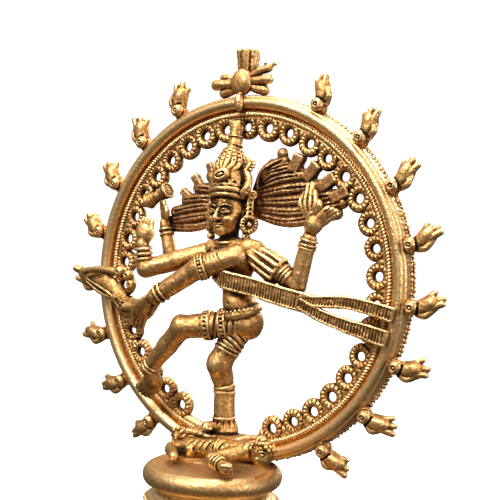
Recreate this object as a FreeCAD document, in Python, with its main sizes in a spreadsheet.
import FreeCAD, Part
import os
import Sketcher
from FreeCAD import Placement, Rotation, Vector

# Brass Nataraja: a dancing four-armed figure inside a flaming ring, on a round pedestal.
# Millimetres. Origin at the centre of the pedestal's underside, +Z up, the figure faces -Y.
# Left and right in the names are the viewer's, looking along +Y.

doc = FreeCAD.newDocument("nataraja")
sheet = doc.addObject("Spreadsheet::Sheet", "Sizes")

# ---------------------------------------------------------------- driving dimensions
SIZES = {
    # ring: the centre's height, then radii from the centre and depths from the front plane
    "ring_height": 98.0, "ring_front": 8.0, "ring_depth": 8.0,
    "rim_outer": 58.0, "rim_inner": 54.0, "rim_depth": 4.3, "rim_round": 1.6,
    "bead_outer": 58.4, "bead_inner": 54.4,
    "cord_radius": 52.6, "cord_section": 1.4, "cord_setback": 1.6,
    "band_inner": 48.6, "band_setback": 2.2, "band_thick": 2.8,
    "rosette_radius": 48.7, "rosette_lobe": 3.7, "rosette_hole": 1.65,
    "rosette_pitch": 9.6, "rosette_first": -153.6, "rosette_count": 34,
    # flames: eight a side, evenly pitched
    "flame_first": 26.2, "flame_pitch": 17.17, "flame_thick": 3.2, "flame_root": 57.9,
    "flame_width": 6.4, "flame_length": 10.6, "flame_lean": 1.6,
    "berry_radius": 60.3, "berry_size": 2.1,
    # finial at the top of the ring
    "finial_boss_high": 160.8, "finial_boss_size": 3.3, "finial_top": 171.0, "finial_petal": 2.6,
    # pedestal, from the floor up
    "plinth_radius": 36.0, "plinth_height": 7.0, "plinth_wall": 5.0, "plinth_step": 1.6,
    "lotus_foot": 33.0, "lotus_top": 20.5, "lotus_belly": 31.5, "lotus_height": 23.5,
    "lotus_wall": 5.0,
    "neck_radius": 17.8, "neck_height": 3.5,
    "cushion_radius": 21.5, "cushion_height": 6.5, "cushion_round": 2.9,
    "tenon_wide": 5.0, "tenon_deep": 5.0, "tenon_spread": 9.0, "peg_radius": 2.2,
    # limb and body radii
    "neck_r": 2.6, "chest_r": 5.0, "waist_r": 4.3, "hip_r": 6.3, "shoulder_r": 3.2,
    "arm_r": 2.9, "elbow_r": 2.7, "wrist_r": 1.9, "hand_r": 2.6, "finger_r": 1.3,
    "thigh_r": 4.5, "knee_r": 3.9, "shin_r": 3.2, "ankle_r": 2.6, "anklet_r": 3.5, "foot_r": 2.4,
    "toe_r": 1.7, "band_lip": 0.55, "band_wide": 1.2,
    # head and headdress
    "head_wide": 5.9, "head_long": 6.0, "head_tall": 7.4, "diadem_r": 6.7, "diadem_wire": 1.0,
    "crown_base": 6.2, "crown_belly": 7.4, "crown_neck": 2.6, "crown_tip": 2.1,
    "fan_thick": 3.0, "strand_r": 1.7, "peg_r": 1.6, "ear_ring": 3.1, "ear_thick": 2.4,
    "neck_cord": 0.9, "necklace_r": 3.9,
    # drum, cobra, sash, slab and demon
    "drum_r": 2.9, "drum_waist": 1.5, "flame_r": 2.5,
    "cobra_neck": 2.2, "cobra_tail": 1.7,
    "sash_thick": 1.8, "sash_slope": 6.0, "sash_start": 0.5,
    "sleeve_root": 4.2, "sleeve_hem": 3.7, "band_tall": 2.6, "belt_wide": 2.0,
    "slab_thick": 2.4, "slab_long": 11.0, "slab_wide": 5.6,
    "demon_body": 3.4, "demon_hip": 3.0, "demon_limb": 1.9, "demon_fist": 2.3,
    "demon_elbow_r": 2.0, "demon_wrist_r": 1.7,
}

# Named points of the figure: x, y, z in the part's frame.
POINTS = {
    "throat": (-1.2, 4.2, 111.0), "chest": (1.8, 4.6, 104.0), "waist": (2.8, 5.0, 95.0),
    "hips": (5.6, 5.2, 85.6), "shoulder_left": (-6.2, 4.6, 106.2), "shoulder_right": (9.6, 5.0, 107.0),
    "head": (-0.9, 3.4, 118.2), "crown_low": (-1.2, 4.6, 124.0), "crown_wide": (-1.4, 5.4, 129.0),
    "crown_high": (-1.8, 7.0, 139.0), "crown_end": (-1.9, 8.2, 147.0),
    "palm_elbow": (-27.2, -3.6, 99.6), "palm_wrist": (-28.0, -4.6, 107.4), "palm_tips": (-26.6, -4.2, 116.0),
    "drum_elbow": (-25.6, 8.0, 101.6), "drum_wrist": (-29.6, 8.6, 114.6), "drum_grip": (-30.6, 8.8, 119.4),
    "drum_mid": (-33.6, 9.6, 124.0), "flame_elbow": (23.6, 6.4, 97.0), "flame_wrist": (27.4, 6.0, 111.4),
    "flame_palm": (30.4, 5.8, 117.2), "flame_cup": (28.0, 5.8, 122.6), "flame_end": (27.2, 6.0, 127.4),
    "finger_end": (35.6, 6.0, 119.6), "cross_start": (4.6, 1.4, 105.0), "cross_armlet": (-6.2, -3.6, 100.8),
    "cross_wrist": (-20.6, -6.2, 91.2), "cross_knuckle": (-26.4, -5.6, 86.6),
    "cross_tips": (-29.6, -4.0, 80.8),
    "leg_root": (6.0, 3.6, 84.4), "knee_raised": (-12.2, -2.4, 82.0), "ankle_raised": (-26.4, -0.6, 67.4),
    "heel_raised": (-26.0, 1.6, 63.6), "toes_raised": (-31.0, 2.6, 58.4),
    "knee_standing": (-0.4, 1.6, 71.0), "calf_standing": (-0.2, 3.2, 67.2),
    "ankle_standing": (0.4, 4.0, 63.4), "foot_standing": (0.9, 3.6, 54.0), "slab_mid": (-0.6, 3.0, 50.0),
    "toes_standing": (-1.6, -1.6, 52.2),
    "cobra_root": (-30.0, -0.4, 87.6), "cobra_bend": (-39.0, 1.8, 86.4), "cobra_throat": (-50.0, 3.8, 91.4),
    "cobra_mouth": (-60.0, 4.6, 96.6), "cobra_nose": (-64.6, 5.2, 97.6), 
    "fan_right_root": (4.6, 9.6, 121.0), "fan_left_root": (-6.4, 9.6, 121.0),
    "ear_right": (6.4, 4.4, 115.0), "ear_left": (-7.6, 4.4, 115.4),
    "demon_neck": (13.6, -1.6, 46.8), "demon_face": (18.8, -1.4, 46.4), "demon_back": (4.0, -1.6, 45.6),
    "demon_rump": (-7.4, -1.6, 44.6), "demon_knee": (-13.2, -4.2, 43.6), "demon_foot": (-8.4, -9.2, 42.8),
    "demon_elbow": (6.8, -10.4, 44.6), "demon_hand": (13.2, -12.7, 43.3),
    "demon_knuckle": (16.0, -13.6, 42.7), "demon_curl": (15.6, 3.0, 49.0),
    "boss_left": (-16.6, 4.6, 46.2),
    "crown_flower": (-3.2, -1.2, 129.6), "serpent_low": (6.2, 3.6, 124.2), "serpent_mid": (7.2, 4.4, 128.4),
    "serpent_high": (5.0, 6.0, 133.4), "necklace": (-0.8, 3.4, 108.6), "palm_middle": (-27.6, -4.8, 110.4),
    "drum_end_left": (-37.2, 9.8, 122.4), "drum_end_right": (-29.8, 9.4, 125.4),
    "sleeve_end": (17.6, 5.8, 101.2), "cobra_hood_mid": (-52.4, 4.0, 95.6),
}

# Hair fans: corners as x, z offsets from the root, and pegs as (angle up from +X, reach).
FAN_EDGE = {
    "right": [(2.0, -7.6), (25.6, -2.0), (28.4, 3.2), (23.2, 6.8), (18.0, 9.8), (13.0, 12.0),
              (8.2, 13.8), (3.6, 13.2), (0.6, 4.0)],
    "left": [(-1.6, -7.4), (-23.6, -8.4), (-24.6, -5.2), (-19.4, -0.6), (-14.6, 3.4), (-10.8, 7.4),
             (-6.0, 10.6), (-2.6, 10.4), (-0.8, 3.0)],
}
FAN_PEGS = {
    "right": [(6.0, 31.6), (16.5, 27.6), (28.5, 23.8), (42.5, 20.6), (60.0, 18.6)],
    "left": [(168.0, 18.2), (146.0, 16.4), (120.0, 15.2)],
}
PEG_LENGTH = 4.6

# Sash: the forked outline as x, z corners, from the chest to the two tails over the rim.
SASH_EDGE = [(-1.5, 100.6), (12.0, 98.8), (28.0, 94.0), (42.0, 95.2), (55.4, 92.6), (54.6, 88.6),
             (43.0, 91.2), (33.5, 90.4), (42.0, 88.4), (53.6, 86.0), (52.2, 81.0), (40.0, 85.2),
             (27.0, 89.6), (12.0, 93.6), (0.0, 95.2)]

row = 1
for alias, size in SIZES.items():
    sheet.set("A%d" % row, alias)
    sheet.set("B%d" % row, str(size))
    sheet.setAlias("B%d" % row, alias)
    row += 1
for point, place in POINTS.items():
    sheet.set("A%d" % row, point)
    for column, axis, coordinate in zip("BCD", "xyz", place):
        sheet.set("%s%d" % (column, row), str(coordinate))
        sheet.setAlias("%s%d" % (column, row), "%s_%s" % (point, axis))
    row += 1
doc.recompute()

NODES = []


def size(alias):
    """The sheet's value under an alias."""
    return float(sheet.get(alias))


def at(point):
    """A named point as a vector."""
    return Vector(*(size("%s_%s" % (point, axis)) for axis in "xyz"))


def keep(item, label):
    """Mark an object as a sub-part, written under its label."""
    item.Label = label
    NODES.append(item)
    return item


# ---------------------------------------------------------------- primitives tied to the sheet
def bind_place(item, point):
    """Put an object at a named point and tie its place to the sheet."""
    for axis in "xyz":
        item.setExpression("Placement.Base.%s" % axis, "Sizes.%s_%s" % (point, axis))


def ball(name, point, radius, swell=1.0):
    """A sphere at a named point."""
    item = doc.addObject("Part::Sphere", name)
    item.setExpression("Radius", "Sizes.%s * %g" % (radius, swell))
    bind_place(item, point)
    return item


def egg(name, point, wide, long, tall, turn=Rotation()):
    """An ellipsoid at a named point: half sizes along x, y and z, as expressions."""
    item = doc.addObject("Part::Ellipsoid", name)
    item.setExpression("Radius1", tall)
    item.setExpression("Radius2", wide)
    item.setExpression("Radius3", long)
    item.Placement = Placement(at(point), turn)
    bind_place(item, point)
    return item


def span(start, end):
    """The distance between two named points, as an expression."""
    terms = ["(Sizes.%s_%s - Sizes.%s_%s)^2" % (start, axis, end, axis) for axis in "xyz"]
    return "sqrt(%s)" % " + ".join(terms)


def taper(name, start, end, radius_start, radius_end):
    """A cone or cylinder from one named point to another."""
    same = radius_start == radius_end
    item = doc.addObject("Part::Cylinder" if same else "Part::Cone", name)
    if same:
        item.setExpression("Radius", "Sizes.%s" % radius_start)
    else:
        item.setExpression("Radius1", "Sizes.%s" % radius_start)
        item.setExpression("Radius2", "Sizes.%s" % radius_end)
    item.setExpression("Height", span(start, end))
    turn = Rotation(Vector(0, 0, 1), at(end) - at(start))
    item.Placement = Placement(at(start), turn)
    bind_place(item, start)
    return item


JOINT_SWELL = 1.06      # a joint's ball stands a little proud of the limbs that meet in it


def chain(name, stops):
    """Limb segments through named points, with a ball at each: stops are (point, radius) pairs."""
    members = []
    for index, (point, radius) in enumerate(stops):
        members.append(ball("%s_ball_%d" % (name, index), point, radius, JOINT_SWELL))
    for index, (low, high) in enumerate(zip(stops, stops[1:])):
        members.append(taper("%s_run_%d" % (name, index), low[0], high[0], low[1], high[1]))
    return members


def fuse(name, members):
    """One solid from several."""
    item = doc.addObject("Part::MultiFuse", name)
    item.Shapes = members
    return item


def trim(name, base, tools):
    """A piece with its neighbours' volume taken out, so that the two meet face to face."""
    item = doc.addObject("Part::Cut", name)
    item.Base = base
    if len(tools) == 1:
        item.Tool = tools[0]
    else:
        item.Tool = fuse(name + "_neighbours", tools)
    return item


# ---------------------------------------------------------------- PartDesign helpers
def origin_plane(body, role):
    """One of a body's own origin planes."""
    return next(feature for feature in body.Origin.OriginFeatures if feature.Role == role)


def outline(body, name, role, corners):
    """A closed outline of straight edges, with every corner tied to the sheet."""
    sketch = body.newObject("Sketcher::SketchObject", name)
    sketch.AttachmentSupport = (origin_plane(body, role), [""])
    sketch.MapMode = "FlatFace"
    numbers = [[float(sheet.evalExpression(part)) for part in corner] for corner in corners]
    spots = [Vector(across, high, 0) for across, high in numbers]
    count = len(corners)
    sketch.addGeometry([Part.LineSegment(spots[i], spots[(i + 1) % count]) for i in range(count)], False)
    rules = [Sketcher.Constraint("Coincident", i, 2, (i + 1) % count, 1) for i in range(count)]
    for i, (across, high) in enumerate(numbers):
        rules.append(Sketcher.Constraint("DistanceX", -1, 1, i, 1, across))
        rules.append(Sketcher.Constraint("DistanceY", -1, 1, i, 1, high))
    sketch.addConstraint(rules)
    for i, corner in enumerate(corners):
        for step, part in enumerate(corner):
            if not is_number(part):
                sketch.setExpression("Constraints[%d]" % (count + 2 * i + step), sized(part))
    return sketch


def is_number(part):
    """Whether an outline's coordinate is a plain number, with no dimension to be tied to."""
    return part.lstrip("-").replace(".", "").isdigit()


def sized(expression):
    """An expression with each alias in it read from the sheet."""
    known = set(SIZES) | {"%s_%s" % (point, axis) for point in POINTS for axis in "xyz"}
    words = expression.replace("(", " ( ").replace(")", " ) ").split()
    return " ".join("Sizes." + word if word in known else word for word in words)


def circle(body, name, role, centre_y, radius):
    """A circle on the y axis of a sketch, tied to the sheet."""
    sketch = body.newObject("Sketcher::SketchObject", name)
    sketch.AttachmentSupport = (origin_plane(body, role), [""])
    sketch.MapMode = "FlatFace"
    sketch.addGeometry(Part.Circle(Vector(0, size(centre_y), 0), Vector(0, 0, 1), size(radius)), False)
    sketch.addConstraint(Sketcher.Constraint("PointOnObject", 0, 3, -2))
    high = sketch.addConstraint(Sketcher.Constraint("DistanceY", -1, 1, 0, 3, size(centre_y)))
    wide = sketch.addConstraint(Sketcher.Constraint("Radius", 0, size(radius)))
    sketch.setExpression("Constraints[%d]" % high, "Sizes.%s" % centre_y)
    sketch.setExpression("Constraints[%d]" % wide, "Sizes.%s" % radius)
    return sketch


def turned(name, corners):
    """A body turned about its own z axis from an outline in its xz plane."""
    body = doc.addObject("PartDesign::Body", name)
    sketch = outline(body, name + "_profile", "XZ_Plane", corners)
    turn = body.newObject("PartDesign::Revolution", name + "_turn")
    turn.Profile = sketch
    turn.ReferenceAxis = (sketch, ["V_Axis"])
    turn.Angle = 360
    return body


NEAR = 0.01             # two heights closer than this are the same


def is_round(edge):
    """Whether an edge is an arc or a circle."""
    return edge.Curve.TypeId == "Part::GeomCircle"


def round_over(body, base, name, chosen, radius):
    """Fillet the circular edges that chosen(edge) picks out."""
    doc.recompute()
    names = []
    for index, edge in enumerate(base.Shape.Edges):
        if chosen(edge):
            names.append("Edge%d" % (index + 1))
    fillet = body.newObject("PartDesign::Fillet", name)
    fillet.Base = (base, names)
    fillet.setExpression("Radius", "Sizes." + radius)
    return fillet


def on_ring(body):
    """Turn a body made about its own z axis to face the front, at the ring's centre."""
    body.Placement = Placement(Vector(0, 0, size("ring_height")), Rotation(Vector(1, 0, 0), 90))
    body.setExpression("Placement.Base.z", "Sizes.ring_height")
    return body


# ---------------------------------------------------------------- pedestal
def make_pedestal():
    """Plinth, lotus, neck and cushion, each turned, stacked from the floor."""
    plinth = turned("plinth", [
        ("plinth_radius - plinth_wall", "0"), ("plinth_radius", "0"),
        ("plinth_radius", "plinth_height - plinth_step"),
        ("plinth_radius - plinth_step", "plinth_height"),
        ("plinth_radius - plinth_wall", "plinth_height")])
    keep(plinth, "pedestal_plinth")

    lotus = turned("lotus", [
        ("lotus_foot - lotus_wall", "0"), ("lotus_foot", "0"),
        ("lotus_belly", "lotus_height / 3"), ("lotus_top + 2", "lotus_height * 0.8"),
        ("lotus_top", "lotus_height"), ("0", "lotus_height"),
        ("0", "lotus_height - lotus_wall"), ("lotus_top - lotus_wall", "lotus_height - lotus_wall"),
        ("lotus_belly - lotus_wall", "lotus_height / 3")])
    lotus.setExpression("Placement.Base.z", "Sizes.plinth_height")
    keep(lotus, "pedestal_lotus")

    neck = turned("neck", [
        ("0", "0"), ("neck_radius + 1", "0"), ("neck_radius", "neck_height / 2"),
        ("neck_radius + 1", "neck_height"), ("0", "neck_height")])
    neck.setExpression("Placement.Base.z", "Sizes.plinth_height + Sizes.lotus_height")
    keep(neck, "pedestal_neck")

    cushion = turned("cushion", [
        ("0", "0"), ("cushion_radius", "0"), ("cushion_radius", "cushion_height"),
        ("0", "cushion_height")])
    rounded = round_over(cushion, cushion.Tip, "cushion_edge",
                         is_round, "cushion_round")
    cushion.setExpression("Placement.Base.z", "Sizes.plinth_height + Sizes.lotus_height + Sizes.neck_height")
    return cushion


def origin_axis(body, role):
    """One of a body's own origin axes."""
    return next(feature for feature in body.Origin.OriginFeatures if feature.Role == role)


def make_tenons(cushion):
    """Two blocks under the ring and a round peg under the demon, each in its own socket."""
    top = "Sizes.plinth_height + Sizes.lotus_height + Sizes.neck_height + Sizes.cushion_height"
    blocks = []
    for side, sign in (("left", -1), ("right", 1)):
        block = doc.addObject("Part::Box", "tenon_" + side)
        block.setExpression("Length", "Sizes.tenon_wide")
        block.setExpression("Width", "Sizes.rim_depth")
        block.setExpression("Height", "Sizes.tenon_deep")
        block.setExpression("Placement.Base.x", "%d * Sizes.tenon_spread - Sizes.tenon_wide / 2" % sign)
        block.setExpression("Placement.Base.y", "Sizes.ring_front")
        block.setExpression("Placement.Base.z", "%s - Sizes.tenon_deep" % top)
        blocks.append(keep(block, "ring_tenon_" + side))
    peg = doc.addObject("Part::Cylinder", "figure_peg_round")
    peg.setExpression("Radius", "Sizes.peg_radius")
    peg.setExpression("Height", "Sizes.tenon_deep")
    peg.setExpression("Placement.Base.x", "Sizes.demon_back_x")
    peg.setExpression("Placement.Base.y", "Sizes.demon_back_y")
    peg.setExpression("Placement.Base.z", "%s - Sizes.tenon_deep" % top)
    keep(peg, "figure_peg")
    keep(trim("cushion_with_sockets", cushion, blocks + [peg]), "pedestal_cushion")
    table = doc.addObject("Part::Box", "table")
    table.setExpression("Length", "Sizes.rim_outer * 2")
    table.setExpression("Width", "Sizes.rim_outer * 2")
    table.setExpression("Height", top)
    table.setExpression("Placement.Base.x", "-Sizes.rim_outer")
    table.setExpression("Placement.Base.y", "-Sizes.rim_outer")
    return table


# ---------------------------------------------------------------- ring
def make_ring(table):
    """Rim, bead edge, inner cord and pierced rosette band. All are flat where they meet the pedestal."""
    rim = turned("rim", [
        ("rim_inner", "0 - ring_front - rim_depth"), ("rim_outer", "0 - ring_front - rim_depth"),
        ("rim_outer", "0 - ring_front"), ("rim_inner", "0 - ring_front")])
    front = -size("ring_front")
    round_over(rim, rim.Tip, "rim_edge",
               lambda edge: is_round(edge) and abs(edge.Vertexes[0].Z - front) < NEAR,
               "rim_round")
    on_ring(rim)

    beads = turned("beads", [
        ("bead_inner", "0 - ring_front - ring_depth"), ("bead_outer", "0 - ring_front - ring_depth"),
        ("bead_outer", "0 - ring_front - rim_depth"), ("bead_inner", "0 - ring_front - rim_depth")])
    on_ring(beads)

    band = turned("band", [
        ("band_inner", "0 - ring_front - band_setback - band_thick"),
        ("rim_inner", "0 - ring_front - band_setback - band_thick"),
        ("rim_inner", "0 - ring_front - band_setback"), ("band_inner", "0 - ring_front - band_setback")])
    for name, radius, kind in (("lobe", "rosette_lobe", "Pad"), ("hole", "rosette_hole", "Pocket")):
        sketch = circle(band, name + "_circle", "XY_Plane", "rosette_radius", radius)
        sketch.AttachmentOffset = Placement(Vector(0, 0, front - size("band_setback")),
                                            Rotation(Vector(0, 0, 1), size("rosette_first")))
        feature = band.newObject("PartDesign::" + kind, name)
        feature.Profile = sketch
        if kind == "Pad":
            feature.setExpression("Length", "Sizes.band_thick")
            feature.Reversed = True
        else:
            feature.Type = "ThroughAll"
        pattern = band.newObject("PartDesign::PolarPattern", name + "s")
        pattern.Originals = [feature]
        pattern.Axis = (origin_axis(band, "Z_Axis"), [""])
        pattern.setExpression("Angle", "Sizes.rosette_pitch * (Sizes.rosette_count - 1)")
        pattern.setExpression("Occurrences", "Sizes.rosette_count")
        band.Tip = pattern
    on_ring(band)

    space = turned("ring_space", [
        ("rosette_radius - rosette_lobe", "0 - ring_front - band_setback - band_thick"),
        ("rim_inner", "0 - ring_front - band_setback - band_thick"),
        ("bead_inner", "0 - ring_front - ring_depth"), ("bead_outer", "0 - ring_front - ring_depth"),
        ("bead_outer", "0 - ring_front - rim_depth"), ("rim_outer", "0 - ring_front - rim_depth"),
        ("rim_outer", "0 - ring_front"), ("rim_inner", "0 - ring_front"),
        ("cord_radius - cord_section", "0 - ring_front - cord_setback"),
        ("cord_radius - cord_section", "0 - ring_front - band_setback"),
        ("rosette_radius - rosette_lobe", "0 - ring_front - band_setback")])
    on_ring(space)

    cord = doc.addObject("Part::Torus", "cord")
    cord.setExpression("Radius1", "Sizes.cord_radius")
    cord.setExpression("Radius2", "Sizes.cord_section")
    cord.Placement = Placement(Vector(0, size("ring_front") + size("cord_setback"), size("ring_height")),
                               Rotation(Vector(1, 0, 0), 90))
    cord.setExpression("Placement.Base.z", "Sizes.ring_height")
    cord.setExpression("Placement.Base.y", "Sizes.ring_front + Sizes.cord_setback")

    keep(trim("rim_seated", rim, [table]), "ring_rim")
    keep(trim("beads_seated", beads, [table]), "ring_bead_edge")
    keep(trim("band_seated", band, [table]), "ring_rosette_band")
    keep(trim("cord_seated", cord, [rim, band]), "ring_inner_cord")
    return rim, beads


def make_flames(rim, beads):
    """Eight flames a side: three pointed petals behind a round berry."""
    for side, sign in (("right", -1), ("left", 1)):
        for index in range(8):
            name = "flame_%s_%d" % (side, index + 1)
            angle = sign * (size("flame_first") + index * size("flame_pitch"))
            lean = "%d * flame_lean" % sign
            leaf = doc.addObject("PartDesign::Body", name + "_leaf")
            sketch = outline(leaf, name + "_petals", "XY_Plane", [
                ("0 - flame_width / 3", "flame_root"), ("flame_width / 3", "flame_root"),
                ("flame_width / 2 - " + lean, "flame_root + flame_length * 0.5"),
                ("flame_width / 3 - " + lean, "flame_root + flame_length * 0.86"),
                ("0 - " + lean, "flame_root + flame_length"),
                ("0 - flame_width / 3 - " + lean, "flame_root + flame_length * 0.8"),
                ("0 - flame_width / 2 - " + lean, "flame_root + flame_length * 0.45")])
            pad = leaf.newObject("PartDesign::Pad", name + "_pad")
            pad.Profile = sketch
            pad.setExpression("Length", "Sizes.flame_thick")
            pad.Reversed = True
            turn = Rotation(Vector(1, 0, 0), 90) * Rotation(Vector(0, 0, 1), angle)
            depth = size("ring_front") + size("flame_thick") / 2
            leaf.Placement = Placement(Vector(0, depth, size("ring_height")), turn)
            berry = doc.addObject("Part::Sphere", name + "_berry")
            berry.setExpression("Radius", "Sizes.berry_size")
            spot = leaf.Placement.multVec(Vector(0, size("berry_radius"), 0))
            berry.Placement = Placement(spot, Rotation())
            keep(trim(name + "_seated", fuse(name + "_whole", [leaf, berry]), [rim, beads]), name)


def make_finial(rim, beads):
    """Oval boss with petal clusters above and on both sides, and a pendant over the rim."""
    centre = Vector(-1.4, size("ring_front") + 1.6, size("finial_boss_high"))
    boss = doc.addObject("Part::Ellipsoid", "boss")
    boss.setExpression("Radius1", "Sizes.finial_boss_size * 1.15")
    boss.setExpression("Radius2", "Sizes.finial_boss_size")
    boss.setExpression("Radius3", "Sizes.finial_boss_size")
    boss.Placement = Placement(centre, Rotation())
    keep(trim("boss_seated", boss, [rim]), "finial_boss")
    clusters = (("finial_top", Vector(-0.4, 10.6, 0), Vector(-0.4, 10.6, size("finial_top")), 3.1),
                ("finial_left", Vector(-1.4, 10.2, 0), Vector(-12.0, 10.2, 160.4), 2.7),
                ("finial_right", Vector(-1.4, 10.2, 0), Vector(9.0, 10.2, 162.6), 2.7))
    for name, offset, end, radius in clusters:
        start = Vector(offset.x, offset.y, size("finial_boss_high"))
        cone = doc.addObject("Part::Cone", name + "_cone")
        cone.setExpression("Radius1", "Sizes.finial_petal * 0.8")
        cone.Radius2 = radius
        cone.Height = (end - start).Length
        cone.Placement = Placement(start, Rotation(Vector(0, 0, 1), end - start))
        others = [boss, beads, rim]
        keep(trim(name + "_seated", cone, others), name)
    drop = doc.addObject("Part::Ellipsoid", "drop")
    drop.Radius1 = 3.0
    drop.Radius2 = 1.7
    drop.Radius3 = 1.6
    drop.Placement = Placement(Vector(-1.4, size("ring_front"), 154.0), Rotation())
    keep(trim("drop_seated", drop, [rim, boss]), "rim_pendant")


# ---------------------------------------------------------------- figure
def pad_front(name, corners, place, thick):
    """A flat piece from an outline seen from the front, padded backwards from its own placement."""
    body = doc.addObject("PartDesign::Body", name)
    sketch = outline(body, name + "_outline", "XY_Plane", corners)
    pad = body.newObject("PartDesign::Pad", name + "_pad")
    pad.Profile = sketch
    pad.setExpression("Length", "Sizes." + thick)
    pad.Reversed = True
    body.Placement = place
    return body


def band(name, start, end, share, radius, wide="band_wide"):
    """A short collar round a limb: share is how far along it lies from start to end."""
    low, high = at(start), at(end)
    item = doc.addObject("Part::Cylinder", name)
    item.setExpression("Radius", "Sizes.%s + Sizes.band_lip" % radius)
    item.setExpression("Height", "Sizes." + wide)
    item.Placement = Placement(low + (high - low) * share, Rotation(Vector(0, 0, 1), high - low))
    return item


def make_head(torso):
    """Head, crown, diadem, crown ornaments, ear ornaments and necklace."""
    head = egg("head_egg", "head", "Sizes.head_wide", "Sizes.head_long", "Sizes.head_tall")
    crown = fuse("crown_whole", chain("crown_run", [
        ("crown_low", "crown_base"), ("crown_wide", "crown_belly"), ("crown_high", "crown_neck"),
        ("crown_end", "crown_tip")]))
    keep(head, "head")
    keep(trim("crown_seated", crown, [head, doc.getObject("ring_space")]), "crown")

    wire = doc.addObject("Part::Torus", "diadem_wire_ring")
    wire.setExpression("Radius1", "Sizes.diadem_r - Sizes.diadem_wire")
    wire.setExpression("Radius2", "Sizes.diadem_wire")
    bind_place(wire, "crown_low")
    keep(trim("diadem_seated", wire, [head, crown]), "diadem")

    turn = Rotation(Vector(1, 0, 0), 12)
    flower = egg("flower_egg", "crown_flower", "2.2", "1.4", "2.8", turn)
    serpent = fuse("serpent_whole", chain("serpent", [
        ("serpent_low", "strand_r"), ("serpent_mid", "strand_r"), ("serpent_high", "wrist_r")]))
    keep(trim("ornaments_seated", fuse("ornaments_whole", [flower, serpent]), [crown, head, wire]),
         "crown_ornaments")

    rings = []
    for side in ("left", "right"):
        ring = doc.addObject("Part::Cylinder", "ear_disc_" + side)
        ring.setExpression("Radius", "Sizes.ear_ring")
        ring.setExpression("Height", "Sizes.ear_thick")
        ring.Placement = Placement(Vector(), Rotation(Vector(0, 1, 0), 90))
        bind_place(ring, "ear_" + side)
        rings.append(ring)
    keep(trim("ears_seated", fuse("ears_whole", rings), [head, torso]), "ear_ornaments")

    beads = doc.addObject("Part::Torus", "necklace_ring")
    beads.setExpression("Radius1", "Sizes.necklace_r")
    beads.setExpression("Radius2", "Sizes.neck_cord")
    beads.Placement = Placement(Vector(), Rotation(Vector(1, 0, 0), 14))
    bind_place(beads, "necklace")
    keep(trim("necklace_seated", beads, [torso, head]), "necklace")
    return head, crown, wire, serpent


def make_hair(head, crown, wire, serpent):
    """Two flat fans of matted locks behind the head, each with short pegs along its edge."""
    depth = at("fan_right_root").y + size("fan_thick") / 2
    for side in ("left", "right"):
        root = "fan_%s_root" % side
        corners = [("%s_x + %g" % (root, reach_x), "%s_z + %g" % (root, reach_z))
                   for reach_x, reach_z in FAN_EDGE[side]]
        place = Placement(Vector(0, depth, 0), Rotation(Vector(1, 0, 0), 90))
        plate = pad_front("hair_plate_" + side, corners, place, "fan_thick")
        members = [plate]
        for index, (angle, reach) in enumerate(FAN_PEGS[side]):
            axis = Rotation(Vector(0, 1, 0), -angle).multVec(Vector(1, 0, 0))
            peg = doc.addObject("Part::Cylinder", "hair_peg_%s_%d" % (side, index))
            peg.setExpression("Radius", "Sizes.peg_r")
            peg.Height = PEG_LENGTH
            base = at(root) + axis * (reach - PEG_LENGTH)
            peg.Placement = Placement(Vector(base.x, depth + 0.2, base.z), Rotation(Vector(0, 0, 1), axis))
            members.append(peg)
        tools = [head, crown, wire, doc.getObject("ring_space")]
        if side == "right":
            tools.append(serpent)
        keep(trim("hair_seated_" + side, fuse("hair_whole_" + side, members), tools), "hair_fan_" + side)


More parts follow.
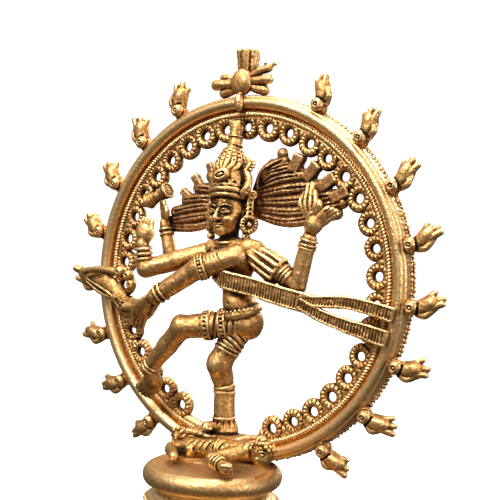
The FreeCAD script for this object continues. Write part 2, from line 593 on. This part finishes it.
def make_arms(torso):
    """Four arms with their hands, what they hold, and their bands."""
    palm = fuse("palm_whole", chain("palm", [
        ("shoulder_left", "arm_r"), ("palm_elbow", "elbow_r"), ("palm_wrist", "wrist_r")])
        + [egg("palm_hand", "palm_middle", "2.4", "1.5", "3.4"),
           taper("palm_fingers", "palm_middle", "palm_tips", "wrist_r", "finger_r")])
    drum_arm = fuse("drum_arm_whole", chain("drum_arm_run", [
        ("shoulder_left", "arm_r"), ("drum_elbow", "elbow_r"), ("drum_wrist", "wrist_r"),
        ("drum_grip", "wrist_r")]))
    flame_arm = fuse("flame_arm_whole", chain("flame_arm_run", [
        ("shoulder_right", "arm_r"), ("flame_elbow", "elbow_r"), ("flame_wrist", "wrist_r"),
        ("flame_palm", "hand_r"), ("finger_end", "finger_r")]))
    crossing = fuse("crossing_whole", chain("crossing", [
        ("cross_start", "shoulder_r"), ("cross_armlet", "arm_r"), ("cross_wrist", "wrist_r"),
        ("cross_knuckle", "hand_r"), ("cross_tips", "finger_r")]))
    keep(trim("crossing_seated", crossing, [torso]), "crossing_arm")
    keep(trim("palm_seated", palm, [torso, crossing]), "palm_arm")
    keep(trim("drum_arm_seated", drum_arm, [torso, palm, crossing]), "drum_arm")
    keep(trim("flame_arm_seated", flame_arm, [torso, crossing]), "flame_arm")

    drum = fuse("drum_whole", [
        taper("drum_left", "drum_end_left", "drum_mid", "drum_r", "drum_waist"),
        taper("drum_right", "drum_mid", "drum_end_right", "drum_waist", "drum_r")])
    neighbours = [drum_arm, doc.getObject("ring_space"), doc.getObject("hair_whole_left")]
    keep(trim("drum_seated", drum, neighbours), "drum")
    fire = taper("fire_cone", "flame_cup", "flame_end", "flame_r", "finger_r")
    keep(trim("fire_seated", fire, [flame_arm, doc.getObject("hair_whole_right")]), "hand_flame")

    arms = [palm, drum_arm, flame_arm, crossing]
    sleeve = taper("sleeve_cone", "shoulder_right", "sleeve_end", "sleeve_root", "sleeve_hem")
    keep(trim("sleeve_seated", sleeve, [torso] + arms), "shoulder_drape")
    bands = [band("band_palm_low", "palm_elbow", "palm_wrist", 0.62, "elbow_r"),
             band("band_palm_high", "palm_elbow", "palm_wrist", 0.9, "wrist_r"),
             band("band_flame_low", "flame_elbow", "flame_wrist", 0.84, "wrist_r"),
             band("band_flame_high", "flame_elbow", "flame_wrist", 0.96, "wrist_r"),
             band("band_flame_arm", "shoulder_right", "flame_elbow", 0.72, "arm_r"),
             band("band_cross_arm", "cross_start", "cross_armlet", 0.9, "arm_r"),
             band("band_cross_wrist", "cross_armlet", "cross_wrist", 0.94, "wrist_r")]
    keep(trim("arm_bands_seated", fuse("arm_bands_whole", bands), [torso] + arms), "arm_bands")
    return arms


def make_legs(torso):
    """Raised leg, standing leg, their bands, the belt and the slab under the foot."""
    standing = fuse("standing_whole", chain("standing", [
        ("hips", "thigh_r"), ("knee_standing", "knee_r"), ("calf_standing", "shin_r"),
        ("ankle_standing", "ankle_r"), ("foot_standing", "anklet_r"), ("toes_standing", "toe_r")]))
    raised = fuse("raised_whole", chain("raised", [
        ("leg_root", "thigh_r"), ("knee_raised", "knee_r"), ("ankle_raised", "ankle_r"),
        ("heel_raised", "foot_r"), ("toes_raised", "toe_r")]))
    half_long, half_wide, corner = "slab_long", "slab_wide", "slab_wide / 2"
    slab = doc.addObject("PartDesign::Body", "slab_body")
    sketch = outline(slab, "slab_outline", "XY_Plane", [
        ("0 - slab_long", "0 - " + corner), ("0 - slab_long * 0.8", "0 - " + half_wide),
        ("slab_long * 0.8", "0 - " + half_wide), (half_long, "0 - " + corner),
        (half_long, corner), ("slab_long * 0.8", half_wide),
        ("0 - slab_long * 0.8", half_wide), ("0 - slab_long", corner)])
    pad = slab.newObject("PartDesign::Pad", "slab_pad")
    pad.Profile = sketch
    pad.setExpression("Length", "Sizes.slab_thick")
    pad.Reversed = True
    slab.Placement = Placement(at("slab_mid"), Rotation(Vector(0, 1, 0), 4))
    clear = [doc.getObject("ring_space")]
    slab_seated = keep(trim("slab_seated", slab, clear), "foot_slab")
    keep(trim("standing_seated", standing, [torso, slab]), "standing_leg")
    keep(trim("raised_seated", raised, [torso, standing] + clear), "raised_leg")
    bands = [band("band_thigh_root", "leg_root", "knee_raised", 0.3, "thigh_r"),
             band("band_thigh_low", "leg_root", "knee_raised", 0.52, "thigh_r"),
             band("band_knee", "hips", "knee_standing", 0.62, "thigh_r"),
             band("band_shin", "calf_standing", "ankle_standing", 0.9, "ankle_r", "band_tall"),
             band("band_ankle", "ankle_raised", "knee_raised", 0.02, "ankle_r"),
             band("band_foot", "foot_standing", "ankle_standing", 0.02, "anklet_r", "band_tall")]
    keep(trim("leg_bands_seated", fuse("leg_bands_whole", bands), [torso, standing, raised]), "leg_bands")
    strap = band("belt_ring", "hips", "waist", 0.3, "hip_r", "belt_wide")
    keep(trim("belt_seated", strap, [torso, standing, raised]), "belt")
    return standing, raised, slab


def make_cloth_and_cobra(torso, arms, ring):
    """The forked sash that blows to the right, and the cobra on the crossing arm."""
    slope = Rotation(Vector(0, 0, 1), size("sash_slope"))
    place = Placement(Vector(0, size("sash_start"), 0), slope * Rotation(Vector(1, 0, 0), 90))
    corners = [("%g" % across, "%g" % high) for across, high in SASH_EDGE]
    sash = pad_front("sash_plate", corners, place, "sash_thick")
    keep(trim("sash_seated", sash, [torso, arms[3]] + ring), "sash")
    cobra = fuse("cobra_whole", chain("cobra", [
        ("cobra_root", "cobra_tail"), ("cobra_bend", "cobra_tail"), ("cobra_throat", "cobra_neck"),
        ("cobra_mouth", "cobra_neck"), ("cobra_nose", "cobra_tail")])
        + [egg("cobra_crown", "cobra_hood_mid", "5.4", "2.0", "3.4", Rotation(Vector(0, 1, 0), -14))])
    keep(trim("cobra_seated", cobra, arms + ring), "cobra")


def make_demon(table, slab, ring):
    """The small figure under the dancer, flat against the pedestal."""
    head = fuse("demon_head_whole", [
        egg("demon_egg", "demon_face", "4.0", "3.6", "4.2"),
        ball("demon_curl_ball", "demon_curl", "demon_limb")])
    body = fuse("demon_body_whole", chain("demon_run", [
        ("demon_neck", "demon_hip"), ("demon_back", "demon_body"), ("demon_rump", "demon_hip"),
        ("demon_knee", "demon_limb"), ("demon_foot", "demon_limb")]))
    arm = fuse("demon_arm_whole", [
        taper("demon_upper_arm", "demon_neck", "demon_elbow", "demon_limb", "demon_elbow_r"),
        taper("demon_forearm", "demon_elbow", "demon_hand", "demon_elbow_r", "demon_wrist_r"),
        taper("demon_palm", "demon_hand", "demon_knuckle", "demon_fist", "demon_wrist_r")])
    keep(trim("demon_head_seated", head, [table, slab] + ring), "demon_head")
    keep(trim("demon_body_seated", body, [table, slab, head] + ring), "demon_body")
    keep(trim("demon_arm_seated", arm, [table, slab, head, body]), "demon_arm")
    curl = ball("boss_ball", "boss_left", "demon_fist", 1.2)
    keep(trim("boss_left_seated", curl, [table, slab, body] + ring), "ring_foot_boss")


# ---------------------------------------------------------------- assembly
cushion = make_pedestal()
table = make_tenons(cushion)
rim, beads = make_ring(table)
make_flames(rim, beads)
make_finial(rim, beads)

ring = [doc.getObject("ring_space")]
torso = fuse("torso_whole", chain("torso_run", [
    ("hips", "hip_r"), ("waist", "waist_r"), ("chest", "chest_r"), ("throat", "neck_r")])
    + chain("shoulder_run", [("shoulder_left", "shoulder_r"), ("shoulder_right", "shoulder_r")]))
head, crown, wire, serpent = make_head(torso)
keep(trim("torso_seated", torso, [head]), "torso")
make_hair(head, crown, wire, serpent)
arms = make_arms(torso)
standing, raised, slab = make_legs(torso)
make_cloth_and_cobra(torso, arms, ring)
make_demon(table, slab, ring)
doc.recompute()

# ---------------------------------------------------------------- checks and output
for item in doc.Objects:
    if "Invalid" in item.State or "Error" in item.State:
        raise RuntimeError("%s failed: %s" % (item.Name, item.State))
for item in NODES:
    if item.Shape.isNull() or not item.Shape.isValid() or item.Shape.Volume <= 0:
        raise RuntimeError("%s has no valid solid" % item.Label)

os.makedirs("parts", exist_ok=True)
for item in NODES:
    item.Shape.exportStep("parts/%s.step" % item.Label)
print("%d sub-parts written" % len(NODES))
